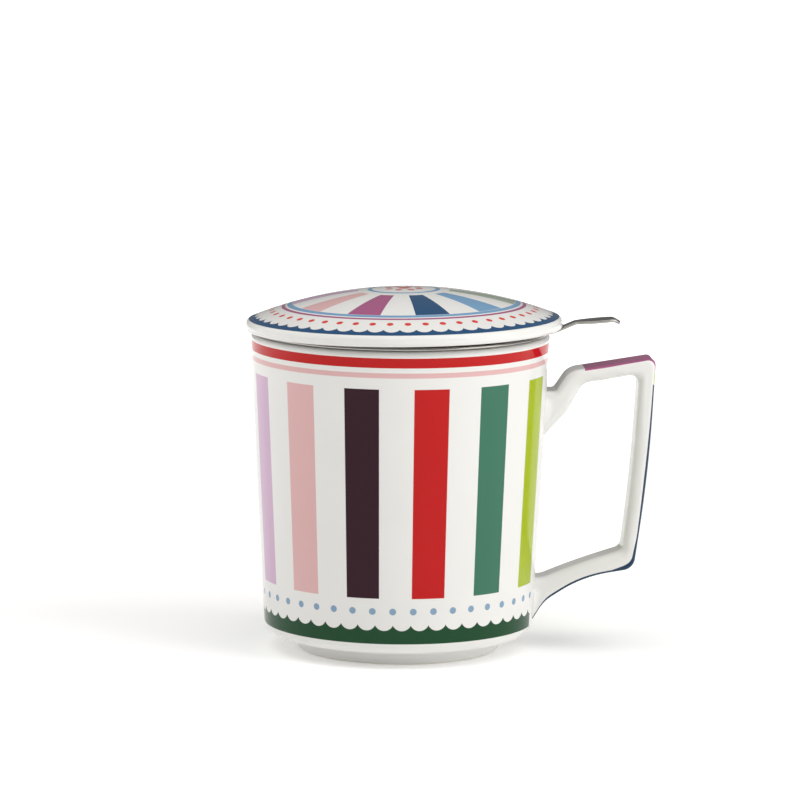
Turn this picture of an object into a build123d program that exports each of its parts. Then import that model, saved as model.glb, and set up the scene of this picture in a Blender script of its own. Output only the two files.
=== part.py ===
from build123d import *
from math import atan2, dist, hypot, sqrt, tan
import os

# Infusion cup: a porcelain mug with a strap handle, a loose domed lid, and a perforated
# steel infuser that hangs in the mouth by its flange.
# Millimetres, +Z up. The origin is on the table, at the centre of the foot ring.
# The handle and the infuser's finger tab point along +X.

# Cup: outside
cup_height = 90.3
cup_rim_radius = 42.4
cup_base_radius = 38.05
shoulder_height = 4.9
shoulder_rounding = 4.2
foot_radius = 28.2
foot_flare = 1.0
foot_height = 3.6
foot_width = 3.4
foot_recess = 2.4
foot_rounding = 0.7

# Cup: inside
lip_wall = 3.6
lip_rounding = 1.5
base_wall = 4.0
floor_thickness = 5.8
bowl_rounding = 8.0

# Handle: a strap, drawn by how far its corners stand out from the cup's wall
handle_width = 12.0
handle_edge = 1.6
handle_sink = 1.0
handle_reach = 30.2
handle_tuck = 2.5
handle_drop = 6.8
handle_foot = 22.9
grip_thickness = 4.5
grip_foot_thickness = 3.6
grip_bow = 400.0
grip_bow_share = 0.47
grip_bow_run_share = 0.7
corner_rounding = 2.8
heel_rounding = 3.8
inner_corner_rounding = 2.4

# Handle: upper arm and root
top_arm_drop = 4.75
top_arm_rise = 3.8
elbow_reach = 5.9
elbow_rounding = 2.6
inner_elbow_reach = 9.9
inner_elbow_step = 3.6
inner_elbow_rounding = 4.0
notch_reach = 2.3
notch_depth = 5.8
notch_rounding = 1.1
upper_root_reach = 5.6
upper_root_step = 8.2
upper_root_fall = 10.8
upper_root_rounding = 6.0

# Handle: lower arm and root
low_arm_thickness = 5.4
low_arm_reach = 13.4
low_arm_fall = 2.3
low_arm_sweep = 36.0
low_inner_reach = 11.1
low_inner_height = 24.1
low_inner_sweep = 20.0
low_root_reach = 2.7
low_root_height = 13.6
low_root_end = 7.0
low_root_tuck = 3.0
low_root_depth = 4.0
low_root_rounding = 11.0
crook_reach = 1.8
crook_height = 20.3
crook_rounding = 1.5

# Infuser: pressed and rolled steel sheet
seat_gap = 0.1
weld_gap = 0.05
sheet = 0.5
flange_thickness = 0.9
flange_inset = 0.5
flange_rounding = 0.4
collar_depth = 9.0
collar_clearance = 0.4
collar_rounding = 0.8
wall_lap = 5.0
infuser_depth = 58.0
basket_clearance = 2.42
base_rim_height = 3.0
base_rounding = 0.8
hoop_sheet = 0.6
hoop_height = 4.0
hoop_turn_in = 3.0
hoop_rounding = 0.5

# Infuser: perforation
hole_diameter = 3.0
hole_margin = 4.5
hole_row_pitch = 7.0
holes_around = 24
base_hole_pitch = 6.5
base_ring_holes = 6

# Infuser: finger tab
tab_sheet = 0.8
tab_root_width = 15.0
tab_neck_width = 4.4
tab_paddle_width = 7.6
tab_tip_width = 4.5
tab_tip_rounding = 0.7
tab_level_reach = 2.16
tab_taper_reach = 3.0
tab_neck_run = 5.64
tab_neck_rise = 2.2
tab_paddle_run = 10.5
tab_paddle_rise = 0.85
tab_tip_run = 1.7
tab_tip_fall = 0.8
tab_bend = 1.4
tab_crown_share = 0.52

# Lid
skirt_wall = 1.35
lid_height = 11.52
lid_rim_height = 2.85
lid_rim_rounding = 2.0
lid_wall = 4.0
lid_play = 1.6
lid_side_gap = 0.6
lid_seat_gap = 0.1
lid_tab_gap = 0.1
lid_front_rise = 1.3
lid_seat_width = 7.5
skirt_drop = 1.0
skirt_rounding_share = 0.75
skirt_edge_share = 0.18

os.makedirs("parts", exist_ok=True)


def wall_radius(height):
    """Outer radius of the cup's tapered wall at a height above the table."""
    share = (height - shoulder_height) / (cup_height - shoulder_height)
    return cup_base_radius + (cup_rim_radius - cup_base_radius) * share


def beyond_wall(reach, height):
    """Point in the handle's plane that stands out from the cup's wall by reach."""
    return (wall_radius(height) + reach, height)


# Cup body: foot ring, shoulder, tapered wall, lip and bowl in one section
foot_inner_radius = foot_radius - foot_width
floor_height = foot_recess + floor_thickness
bowl_radius = cup_rim_radius - lip_wall
bowl_base_radius = wall_radius(floor_height) - base_wall


def bowl_radius_at(height):
    """Radius of the tapered bowl at a height above the table."""
    share = (height - floor_height) / (cup_height - floor_height)
    return bowl_base_radius + (bowl_radius - bowl_base_radius) * share


cup_underside = (
    (0, foot_recess),
    (foot_inner_radius - foot_flare, foot_recess),
    (foot_inner_radius, 0),
)
cup_outside = (
    (foot_radius, 0),
    (foot_radius + foot_flare, foot_height),
    (cup_base_radius, shoulder_height),
    (cup_rim_radius, cup_height),
)
cup_inside = (
    (bowl_radius, cup_height),
    (bowl_base_radius, floor_height),
    (0, floor_height),
)
outside_roundings = (foot_rounding, foot_rounding, shoulder_rounding, lip_rounding)
with BuildPart() as cup_body:
    with BuildSketch(Plane.XZ):
        with BuildLine():
            FilletPolyline(
                *cup_underside,
                *cup_outside,
                *cup_inside,
                radius=(foot_rounding, foot_rounding, *outside_roundings, lip_rounding, bowl_rounding),
            )
            Line(cup_inside[-1], cup_underside[0])
        make_face()
    revolve(axis=Axis.Z)
    cup_body.part.label = "cup_body"
export_step(cup_body.part, "parts/cup_body.step")

# The cup's outer form, solid through, trims whatever is luted to the wall
with BuildPart() as cup_form:
    with BuildSketch(Plane.XZ):
        with BuildLine():
            FilletPolyline((0, 0), *cup_outside, (0, cup_height), radius=outside_roundings)
            Line((0, cup_height), (0, 0))
        make_face()
    revolve(axis=Axis.Z)

# Cup handle: the strap's outline runs down its outer side, then back up round the finger gap
root_radius = min(cup_base_radius, cup_rim_radius) - handle_sink
low_root_radius = root_radius - low_root_depth
handle_top = cup_height - handle_drop
grip_middle = handle_foot + (handle_top - handle_foot) * grip_bow_share
elbow_height = handle_top - top_arm_rise
notch_height = elbow_height - notch_depth
inner_elbow_height = elbow_height - inner_elbow_step
upper_root_height = inner_elbow_height - upper_root_step
grip_foot_reach = handle_reach - handle_tuck
inner_foot_reach = grip_foot_reach - grip_foot_thickness
inner_reach = handle_reach - grip_thickness
grip_top = beyond_wall(handle_reach, handle_top)
grip_bend = beyond_wall(handle_reach, grip_middle)
grip_heel = beyond_wall(grip_foot_reach, handle_foot)
inner_top = beyond_wall(inner_reach, handle_top - top_arm_drop)
inner_bend = beyond_wall(inner_reach, grip_middle)
inner_heel = beyond_wall(inner_foot_reach, handle_foot + low_arm_thickness)


def bow_rounding(top, bend, heel):
    """Rounding of the grip's slight bow, held within the two sides that it joins."""
    upper_angle = atan2(top[0] - bend[0], top[1] - bend[1])
    lower_angle = atan2(bend[0] - heel[0], bend[1] - heel[1])
    run = min(dist(top, bend), dist(bend, heel)) * grip_bow_run_share
    return min(grip_bow, run / tan(abs(lower_angle - upper_angle) / 2))


outer_side = (
    ((root_radius, notch_height), 0),
    (beyond_wall(notch_reach, notch_height), notch_rounding),
    (beyond_wall(elbow_reach, elbow_height), elbow_rounding),
    (grip_top, corner_rounding),
    (grip_bend, bow_rounding(grip_top, grip_bend, grip_heel)),
    (grip_heel, heel_rounding),
    (beyond_wall(low_arm_reach, handle_foot - low_arm_fall), low_arm_sweep),
    (beyond_wall(low_root_reach, low_root_height), low_root_rounding),
    ((root_radius, low_root_end), 0),
    ((low_root_radius, low_root_end + low_root_tuck), 0),
)
inner_side = (
    ((low_root_radius, crook_height), 0),
    (beyond_wall(crook_reach, crook_height), crook_rounding),
    (beyond_wall(low_inner_reach, low_inner_height), low_inner_sweep),
    (inner_heel, inner_corner_rounding),
    (inner_bend, bow_rounding(inner_top, inner_bend, inner_heel)),
    (inner_top, inner_corner_rounding),
    (beyond_wall(inner_elbow_reach, inner_elbow_height), inner_elbow_rounding),
    (beyond_wall(upper_root_reach, upper_root_height), upper_root_rounding),
    ((root_radius, upper_root_height - upper_root_fall), 0),
)
handle_points = [point for point, rounding in outer_side + inner_side]
handle_roundings = [rounding for point, rounding in outer_side + inner_side]
with BuildPart() as cup_handle:
    with BuildSketch(Plane.XZ):
        with BuildLine():
            FilletPolyline(*handle_points, radius=handle_roundings, close=True)
        make_face()
    extrude(amount=handle_width / 2, both=True)
    strap_sides = cup_handle.faces().sort_by(Axis.Y)
    fillet(strap_sides[0].edges() + strap_sides[-1].edges(), handle_edge)
    add(cup_form.part, mode=Mode.SUBTRACT)
    cup_handle.part.label = "cup_handle"
export_step(cup_handle.part, "parts/cup_handle.step")

# Infuser rim: flange on the lip, and a drawn collar that hangs into the mouth
flange_bottom = cup_height + seat_gap
flange_top = flange_bottom + flange_thickness
flange_radius = cup_rim_radius - flange_inset
collar_bottom = flange_bottom - collar_depth
collar_radius = bowl_radius_at(collar_bottom) - collar_clearance
collar_bore = collar_radius - sheet
with BuildPart() as infuser_rim:
    with BuildSketch(Plane.XZ):
        with BuildLine():
            FilletPolyline(
                (collar_bore, collar_bottom),
                (collar_radius, collar_bottom),
                (collar_radius, flange_bottom),
                (flange_radius, flange_bottom),
                (flange_radius, flange_top),
                (collar_bore, flange_top),
                radius=(0, 0, collar_rounding, flange_rounding, flange_rounding, collar_rounding),
                close=True,
            )
        make_face()
    revolve(axis=Axis.Z)
    infuser_rim.part.label = "infuser_rim"
export_step(infuser_rim.part, "parts/infuser_rim.step")

# Infuser wall: a rolled cone of sheet, lapped inside the collar, pierced in staggered rows
wall_top = collar_bottom + wall_lap
wall_top_radius = collar_bore - weld_gap
basket_bottom = flange_bottom - infuser_depth
basket_base_radius = bowl_radius_at(basket_bottom) - basket_clearance - hoop_sheet - weld_gap
basket_taper = (wall_top_radius - basket_base_radius) / (wall_top - basket_bottom)


def basket_radius(height):
    """Outer radius of the infuser's wall at a height above the table."""
    return basket_base_radius + basket_taper * (height - basket_bottom)


first_row = basket_bottom + hoop_height + hole_margin
last_row = collar_bottom - hole_margin
row_count = int((last_row - first_row) / hole_row_pitch) + 1
row_step = (last_row - first_row) / max(row_count - 1, 1)
half_pitch = 360 / holes_around / 2
hole_places = []
for row in range(row_count):
    row_height = first_row + row * row_step
    ring = PolarLocations(basket_radius(row_height), holes_around, start_angle=half_pitch * (row % 2))
    hole_places += [Location((0, 0, row_height)) * place for place in ring.local_locations]
with BuildPart() as infuser_wall:
    with BuildSketch(Plane.XZ):
        with BuildLine():
            Polyline(
                (basket_base_radius, basket_bottom),
                (wall_top_radius, wall_top),
                (wall_top_radius - sheet, wall_top),
                (basket_base_radius - sheet, basket_bottom),
                close=True,
            )
        make_face()
    revolve(axis=Axis.Z)
    with Locations(*hole_places):
        Cylinder(hole_diameter / 2, hole_diameter, rotation=(0, 90, 0), mode=Mode.SUBTRACT)
    infuser_wall.part.label = "infuser_wall"
export_step(infuser_wall.part, "parts/infuser_wall.step")

# Infuser base: a pierced pan whose upturned rim laps inside the wall
pan_radius = basket_base_radius - sheet - weld_gap
pan_rim_top = basket_bottom + base_rim_height
pan_rim_radius = basket_radius(pan_rim_top) - sheet - weld_gap
base_rings = int((pan_radius - sheet - hole_margin) / base_hole_pitch)
with BuildPart() as infuser_base:
    with BuildSketch(Plane.XZ):
        with BuildLine():
            FilletPolyline(
                (0, basket_bottom),
                (pan_radius, basket_bottom),
                (pan_rim_radius, pan_rim_top),
                (pan_rim_radius - sheet, pan_rim_top),
                (pan_radius - sheet, basket_bottom + sheet),
                (0, basket_bottom + sheet),
                radius=(base_rounding, 0, 0, base_rounding - sheet),
            )
            Line((0, basket_bottom + sheet), (0, basket_bottom))
        make_face()
    revolve(axis=Axis.Z)
    with BuildSketch(Plane.XY.offset(basket_bottom)):
        Circle(hole_diameter / 2)
        for ring in range(1, base_rings + 1):
            with PolarLocations(ring * base_hole_pitch, ring * base_ring_holes):
                Circle(hole_diameter / 2)
    extrude(amount=sheet, mode=Mode.SUBTRACT)
    infuser_base.part.label = "infuser_base"
export_step(infuser_base.part, "parts/infuser_base.step")

# Infuser hoop: a band round the foot of the wall, turned in under the pan
hoop_top = basket_bottom + hoop_height
hoop_floor = basket_bottom - weld_gap
hoop_bottom = hoop_floor - hoop_sheet
hoop_bore = basket_base_radius + weld_gap
hoop_top_bore = basket_radius(hoop_top) + weld_gap
hoop_lip_radius = hoop_bore - hoop_turn_in
with BuildPart() as infuser_hoop:
    with BuildSketch(Plane.XZ):
        with BuildLine():
            FilletPolyline(
                (hoop_lip_radius, hoop_floor),
                (hoop_bore, hoop_floor),
                (hoop_top_bore, hoop_top),
                (hoop_top_bore + hoop_sheet, hoop_top),
                (hoop_bore + hoop_sheet, hoop_bottom),
                (hoop_lip_radius, hoop_bottom),
                radius=(0, 0, 0, 0, hoop_rounding, 0),
                close=True,
            )
        make_face()
    revolve(axis=Axis.Z)
    infuser_hoop.part.label = "infuser_hoop"
export_step(infuser_hoop.part, "parts/infuser_hoop.step")

# Infuser tab: a bent strip on the flange's edge, trimmed to a root, a neck and a leaf-shaped paddle
tab_start = flange_radius - 2 * tab_sheet
neck_start = flange_radius + tab_level_reach
paddle_start = neck_start + tab_neck_run
tip_start = paddle_start + tab_paddle_run
tab_end = tip_start + tab_tip_run
tip_edge = tab_end - tab_tip_rounding
neck_top = flange_bottom + tab_neck_rise
paddle_top = neck_top + tab_paddle_rise
crown_reach = paddle_start + (tab_end - paddle_start) * tab_crown_share
with BuildPart() as infuser_tab:
    with BuildSketch(Plane.XZ):
        with BuildLine():
            FilletPolyline(
                (tab_start, flange_bottom),
                (neck_start, flange_bottom),
                (paddle_start, neck_top),
                (tip_start, paddle_top),
                (tab_end, paddle_top - tab_tip_fall),
                radius=tab_bend,
            )
            offset(amount=tab_sheet, side=Side.LEFT)
        make_face()
    extrude(amount=tab_root_width / 2, both=True)
    with BuildSketch(Plane.XY.offset(flange_bottom)):
        with BuildLine():
            Polyline(
                (tab_start, 0),
                (tab_start, tab_root_width / 2),
                (flange_radius, tab_root_width / 2),
                (flange_radius + tab_taper_reach, tab_neck_width / 2),
                (paddle_start, tab_neck_width / 2),
            )
            ThreePointArc(
                (paddle_start, tab_neck_width / 2),
                (crown_reach, tab_paddle_width / 2),
                (tip_edge, tab_tip_width / 2),
            )
            Polyline((tip_edge, tab_tip_width / 2), (tab_end + tab_tip_rounding, 0), (tab_start, 0))
        make_face()
        mirror(about=Plane.XZ)
    extrude(amount=lid_height, mode=Mode.INTERSECT)
    with Locations((0, 0, flange_bottom)):
        Cylinder(flange_radius + weld_gap, lid_height, mode=Mode.SUBTRACT)
    infuser_tab.part.label = "infuser_tab"
export_step(infuser_tab.part, "parts/infuser_tab.step")

# Lid: a dome with a rounded rim, laid on loosely. Its seat touches the flange at the back, its skirt
# rides on the tab at one side, and its front stands up a little.
lid_shift = lid_play - lid_side_gap
skirt_bore = flange_radius + lid_play
lid_radius = skirt_bore + skirt_wall
skirt_rounding = skirt_wall * skirt_rounding_share
skirt_edge = skirt_wall * skirt_edge_share
skirt_foot = lid_radius - skirt_rounding / 2
tab_reach = skirt_foot + lid_shift
tab_slope = tab_neck_rise / tab_neck_run
tab_rise = max(tab_reach - neck_start, 0) * tab_slope
lid_lift = tab_sheet + tab_rise + lid_tab_gap - flange_thickness + skirt_drop
front_slope = lid_front_rise / (2 * lid_radius)
spare_lift = lid_lift**2 - (flange_radius * front_slope) ** 2
root_term = (lid_lift * tab_reach) ** 2 - (tab_reach**2 - flange_radius**2) * spare_lift
side_slope = spare_lift / (lid_lift * tab_reach + sqrt(root_term))
seat_fall = flange_radius * hypot(side_slope, front_slope) + lid_shift * side_slope
lid_centre = (lid_shift, 0, flange_top + lid_seat_gap - skirt_drop + seat_fall)
lid_out = Vector(1, 0, side_slope)
lid_up = Vector(-side_slope, front_slope, 1)
lid_section = Plane(origin=lid_centre, x_dir=lid_out, z_dir=lid_out.cross(lid_up))
dome_radius = (lid_radius**2 + (lid_height - lid_rim_height) ** 2) / (2 * (lid_height - lid_rim_height))
hollow_radius = skirt_bore - lid_seat_width
hollow_height = lid_height - lid_wall
hollow_rise = hollow_height - skirt_drop
hollow_dome_radius = (hollow_radius**2 + hollow_rise**2) / (2 * hollow_rise)
with BuildPart() as lid:
    with BuildSketch(lid_section) as lid_profile:
        with BuildLine():
            RadiusArc((0, lid_height), (lid_radius, lid_rim_height), dome_radius)
            Polyline(
                (lid_radius, lid_rim_height),
                (lid_radius, 0),
                (skirt_bore, 0),
                (skirt_bore, skirt_drop),
                (hollow_radius, skirt_drop),
            )
            RadiusArc((hollow_radius, skirt_drop), (0, hollow_height), -hollow_dome_radius)
            Line((0, hollow_height), (0, lid_height))
        make_face()
        fillet(lid_profile.vertices().sort_by_distance((lid_radius, lid_rim_height))[0], lid_rim_rounding)
        fillet(lid_profile.vertices().sort_by_distance((lid_radius, 0))[0], skirt_rounding)
        fillet(lid_profile.vertices().sort_by_distance((skirt_bore, 0))[0], skirt_edge)
    revolve(axis=Axis(lid_centre, lid_up))
    lid.part.label = "lid"
export_step(lid.part, "parts/lid.step")
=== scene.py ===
import math

import bmesh
import bpy
from bpy.props import FloatProperty, FloatVectorProperty, IntProperty, PointerProperty
from mathutils import Matrix, Vector


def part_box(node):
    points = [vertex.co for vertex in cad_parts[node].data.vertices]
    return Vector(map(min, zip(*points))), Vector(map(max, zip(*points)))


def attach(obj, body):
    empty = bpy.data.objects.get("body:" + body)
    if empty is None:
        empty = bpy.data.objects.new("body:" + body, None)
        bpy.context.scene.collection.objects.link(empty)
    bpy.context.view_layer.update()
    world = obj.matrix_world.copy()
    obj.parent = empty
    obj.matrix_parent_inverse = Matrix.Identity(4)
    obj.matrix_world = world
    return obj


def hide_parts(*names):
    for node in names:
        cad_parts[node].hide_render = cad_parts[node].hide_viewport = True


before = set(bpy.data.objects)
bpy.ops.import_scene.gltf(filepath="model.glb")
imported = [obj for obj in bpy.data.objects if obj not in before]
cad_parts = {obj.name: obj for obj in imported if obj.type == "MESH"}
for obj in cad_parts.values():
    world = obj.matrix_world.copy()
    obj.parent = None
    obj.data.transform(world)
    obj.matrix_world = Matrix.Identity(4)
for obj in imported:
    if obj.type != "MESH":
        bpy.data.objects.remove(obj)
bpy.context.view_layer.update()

bl_info = {
    "name": "Infusion Cup",
    "version": (1, 0, 0),
    "blender": (4, 5, 0),
    "location": "View3D > Sidebar > Infusion Cup",
    "description": "Glazed mug with printed bands, domed lid and pierced steel infuser",
    "category": "Object",
}

CUP_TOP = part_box("cup_body")[1][2]
FLANGE_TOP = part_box("infuser_rim")[1][2]
FLANGE_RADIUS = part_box("infuser_rim")[1][0]

# Units, and the length below which two points count as one
MM, PER_METRE, LEAST = 0.001, 1000.0, 1e-7

# Height of a row of staggered holes against their pitch, and the gap that stands in for a weld
ROW_SHARE, WELD_GAP = math.sqrt(3) / 2, 0.05 * MM

# Print on the cup: millimetres, and degrees counted from the handle
STRIPES = ("lime", "plum", "red", "green", "pink", "navy",
           "lilac", "pink", "plum", "red", "green", "lime")
STRIPE_PITCH, STRIPE_FIRST, STRIPE_HALF = 27.1, 34.9, 6.85
STRIPE_FOOT, STRIPE_TOP = 20.61, 79.71
LIP_BANDS = ((85.71, 88.48, "red"), (82.9, 84.3, "pink"))
LEAF_FOOT, LEAF_TOP = 7.7, 13.24
BAND_GAP, DOT_GAP, LEAF_GAP = 9.3, 11.0, 12.0
SOFT_EDGE = 0.09

# The cup is printed outside this cone, and its glaze is wiped off at the very foot
SKIN_FOOT, SKIN_SLOPE = 36.2, 0.0509
WIPED_HEIGHT, WIPED_EDGE, WIPED_ROUGHNESS = 0.32, 0.2, 0.5

# Print on the lid: radii in millimetres, and degrees counted from the handle
WEDGES = ("mauve", "navy", "sky", "sage", "pink", "mauve", "navy", "sky", "lilac", "pink")
WEDGE_PITCH, WEDGE_FIRST, WEDGE_HALF = 36.0, -114.5, 9.0
WEDGE_IN, WEDGE_OUT = 12.9, 31.4
LID_RINGS = ((31.5, 33.0, "sky"), (33.6, 34.6, "mauve"), (9.0, 10.3, "sky"))
EYE_RADIUS = 1.9
NAVY_IN, NAVY_OUT = 40.65, 43.9

# The lid is printed above this bowl, which lies within the dome's thickness
CROWN_TOP, CROWN_SPREAD = 10.4, 233.7

# Rings of spots: pitch and first place in degrees, height or radius of the row, size of a spot
CUP_DOTS = (8.47, 264.2, 16.95, 0.96)
CUP_SCALLOPS = (7.42, 268.01, 14.24, 2.74)
LID_PETALS = (45.0, 22.5, 4.6, 1.05)
LID_DOTS = (7.5, -91.8, 37.4, 0.92)
LID_SCALLOPS = (360 / 57, -91.902, 39.76, 2.43)

# Paint on the handle: reach across the strap and round its edge, and where the colours change
PAINT_REACH, NAVY_REACH, HEEL_REACH = 5.75, 6.15, 1.1
HEEL_TOP, HEEL_FOOT, HEEL_IN, HEEL_OUT = 32.0, 22.0, 60.4, 64.4
LIME_FOOT, MAUVE_FOOT, ARM_SPLIT, PAINT_START = 75.9, 79.6, 50.0, 52.0
# Painted shade: the share of its brightness that the navy keeps on the handle, darkened as if in
# shade
NAVY_PAINTED_SHADE = 0.5

# Lines of the strap handle from the upper root to the lower: out, up and rounding in millimetres
HANDLE_OUTER = (
    (39.6, 73.9, 0), (43.86, 73.9, 1.4), (47.76, 79.7, 5.6), (72.26, 83.5, 1.8), (70.62, 51.4, 400),
    (66.67, 22.9, 3.8), (52.25, 20.6, 36), (41.19, 13.6, 11), (36.9, 6.76, 0))
HANDLE_INNER = (
    (39.6, 59.9, 0), (46.9, 67.9, 6), (51.6, 76.1, 4), (67.52, 78.75, 2.4), (66.12, 51.4, 400),
    (63.34, 28.3, 2.4), (50.13, 24.1, 180), (40.63, 20.3, 6), (36.9, 20.3, 0))
HANDLE_RUNS = (16, 6, 14, 14, 14, 8, 6, 16)
STRAP_FLAT = 0.2 * MM

# Bends of the finger tab from its neck to its tip: out, up from the flange and rounding
TAB_BENDS = ((44.5, 0, 1.4), (49.7, 2.2, 3.0), (60.2, 3.05, 1.8), (61.9, 2.25, 0))
TAB_TAPER, TAB_CROWN = 3.0 * MM, 0.52
TIP_LEAST, TIP_DEPTH, TIP_POWER = 0.05, 0.72, 2.6

# Roundings of the turned steel, in millimetres, from the corner after each section's first
FLANGE_EDGES = (0.2, 0.8, 0.44, 0.44, 0.8)
HOOP_EDGES = (0.1, 0.2, 0.25, 0.9, 0.25)
BASE_EDGES = (0.8, 0.2, 0.2, 0.3, 0.1)
BASE_LAP, BASE_SHY, DISC_GAP = 1.6 * MM, 0.1 * MM, 0.2 * MM
BASE_SEGMENTS, HOLE_SEGMENTS = 160, 16
SIDE_STEPS = 4

# Scale of the drawn lines in the steel: round, up and outwards, then their depth and the smear
ROLLED, FLAT, SPUN, BENT = (1.2, 5.0, 2.0), (0.3, 2.0, 4.0), (0.6, 7.0, 7.0), (9.0, 2.0, 0.4)
LINE_SHADE, SMEAR = 0.86, 0.10

# Softboxes: turn from the camera in degrees, then distance, height, width and length in metres
SOFTBOXES = {"left": (-102, 1.0, 0.55, 1.6, 1.25), "right": (61, 1.0, 0.55, 0.8, 1.25),
             "top": (0, 0.3, 1.2, 1.5, 1.4)}
WARM = (1.0, 0.995, 0.985)
AIM = Vector((0, 0, 0.05))
SWEEP_HALF, SWEEP_DROP, GRAIN_SHADE = 5.0, 0.05 * MM, 0.985


def ink(code):
    """Linear colour from a six-figure screen colour."""
    shares = [int(code[place:place + 2], 16) / 255 for place in (0, 2, 4)]
    return tuple(s / 12.92 if s <= 0.04045 else ((s + 0.055) / 1.055) ** 2.4 for s in shares)


def number(name, default, description, **settings):
    """A plain number."""
    return FloatProperty(name=name, description=description, default=default, **settings)


def length(name, default, description):
    """A length in metres, stated in millimetres."""
    return number(name, default * MM, description, unit="LENGTH", precision=5)


def angle(name, default, description):
    """An angle, stated in degrees."""
    return number(name, math.radians(default), description, subtype="ANGLE")


def count(name, default, description, least):
    """A whole number of like things."""
    return IntProperty(name=name, description=description, default=default, min=least)


def colour(name, code, description):
    """A paint or glaze colour."""
    return FloatVectorProperty(name=name, description=description, default=ink(code),
                               subtype="COLOR", size=3, min=0, max=1)


class CupShape(bpy.types.PropertyGroup):
    """Sizes of the mug and its handle."""

    rim_radius: length("Rim radius", 42.4, "Outer radius at the lip")
    base_radius: length("Base radius", 38.05, "Outer radius at the shoulder")
    shoulder_height: length("Shoulder height", 4.9, "Height of the shoulder's corner")
    shoulder_rounding: length("Shoulder rounding", 4.2, "Rounding of the shoulder")
    lip_wall: length("Lip wall", 3.6, "Thickness of the wall at the lip")
    lip_rounding: length("Lip rounding", 1.5, "Rounding of the lip's edges")
    base_wall: length("Base wall", 4.0, "Thickness of the wall at the bowl's floor")
    floor_height: length("Floor height", 8.2, "Height of the bowl's floor")
    bowl_rounding: length("Bowl rounding", 8.0, "Rounding round the bowl's floor")
    foot_radius: length("Foot radius", 28.2, "Outer radius of the foot ring")
    foot_width: length("Foot width", 3.4, "Width of the foot ring's land")
    foot_recess: length("Foot recess", 2.4, "Depth of the hollow inside the foot ring")
    foot_slant: length("Foot slant", 1.0, "How far the foot ring's inner side leans in")
    foot_rounding: length("Foot rounding", 0.7, "Rounding of the foot ring's inner edges")
    foot_edge: length("Foot edge", 0.8, "Rounding of the foot ring's outer edge")
    foot_height: length("Foot height", 3.7, "Height of the foot ring's outer side")
    foot_flare: length("Foot flare", 1.9, "How far the foot ring's outer side leans out")
    foot_cove: length("Foot cove", 1.5, "Rounding between the foot ring and the shoulder")
    handle_width: length("Handle width", 12.0, "Width of the strap handle")
    handle_edge: length("Handle edge", 1.6, "Rounding along the strap's outer edges")
    handle_inner_edge: length("Handle inner edge", 2.7, "Rounding along the strap's inner edges")
    root_flare: length("Root flare", 2.4, "Rounding where the strap meets the wall")
    segments: count("Segments", 256, "Steps round the turned pieces", 32)


class LidShape(bpy.types.PropertyGroup):
    """Sizes and pose of the lid."""

    radius: length("Radius", 44.85, "Outer radius of the lid")
    rise: length("Rise", 11.52, "Height of the lid over its skirt")
    wall: length("Wall", 4.0, "Thickness of the dome at its crown")
    rim_height: length("Rim height", 2.85, "Height at which the dome meets the rim")
    rim_rounding: length("Rim rounding", 2.0, "Rounding between the dome and the rim")
    skirt_bore: length("Skirt bore", 43.5, "Inner radius of the skirt")
    skirt_drop: length("Skirt drop", 1.0, "How far the skirt hangs below the seat")
    skirt_outer_edge: number("Skirt outer edge", 0.75, "Outer rounding as a share of the skirt")
    skirt_inner_edge: number("Skirt inner edge", 0.18, "Inner rounding as a share of the skirt")
    seat_width: length("Seat width", 7.5, "Width of the flat seat inside the skirt")
    seat_rounding: length("Seat rounding", 0.25, "Rounding between the skirt and the seat")
    floor: length("Floor", 91.2671, "Height of the skirt's lower edge on the lid's axis")
    shift: length("Shift", 1.0, "How far the loose lid sits towards the handle")
    side_slope: number("Side slope", 0.01429, "Rise of the lid towards the tab that it rides on",
                       precision=5)
    front_slope: number("Front slope", 0.014493, "Rise of the loosely laid lid towards the front",
                        precision=5)


class InfuserShape(bpy.types.PropertyGroup):
    """Sizes of the steel infuser."""

    flange_sheet: length("Flange sheet", 0.9, "Thickness of the flange")
    collar_bore: length("Collar bore", 37.38, "Inner radius of the collar")
    collar_depth: length("Collar depth", 9.0, "Length of the collar below the flange")
    sheet: length("Sheet", 0.5, "Thickness of the pierced sheet")
    basket_bottom: length("Basket bottom", 32.4, "Height of the basket's underside")
    basket_radius: length("Basket radius", 32.5, "Outer radius at the bottom of the wall")
    wall_top: length("Wall top", 86.4, "Height of the wall's upper edge inside the collar")
    wall_top_radius: length("Wall top radius", 37.33, "Outer radius at the top of the wall")
    wall_margin: length("Wall margin", 5.2, "Plain margin below the wall's holes")
    hole_diameter: length("Hole diameter", 1.45, "Diameter of each drain hole")
    hole_columns: count("Hole columns", 80, "Drain holes round the wall", 12)
    hole_rows: count("Hole rows", 18, "Rows of drain holes up the wall", 2)
    base_pitch: length("Base pitch", 2.75, "Distance between the holes of the base")
    base_rows: count("Base rows", 27, "Rows of holes that the base is cut from", 3)
    base_margin: length("Base margin", 2.6, "Plain margin round the holes of the base")
    base_rise: length("Base rise", 3.0, "Height of the base's turned-up rim")
    hoop_sheet: length("Hoop sheet", 0.6, "Thickness of the hoop")
    hoop_height: length("Hoop height", 4.05, "Height of the hoop's band")
    hoop_turn_in: length("Hoop turn-in", 3.0, "Width of the hoop's lip under the base")
    tab_sheet: length("Tab sheet", 0.8, "Thickness of the finger tab")
    tab_edge: length("Tab edge", 0.28, "Rounding along the tab's edges")
    tab_root: length("Tab root", 7.5, "Half width of the tab at the flange")
    tab_neck: length("Tab neck", 2.2, "Half width of the tab's neck")
    tab_leaf: length("Tab leaf", 3.8, "Half width of the leaf-shaped paddle")


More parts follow.
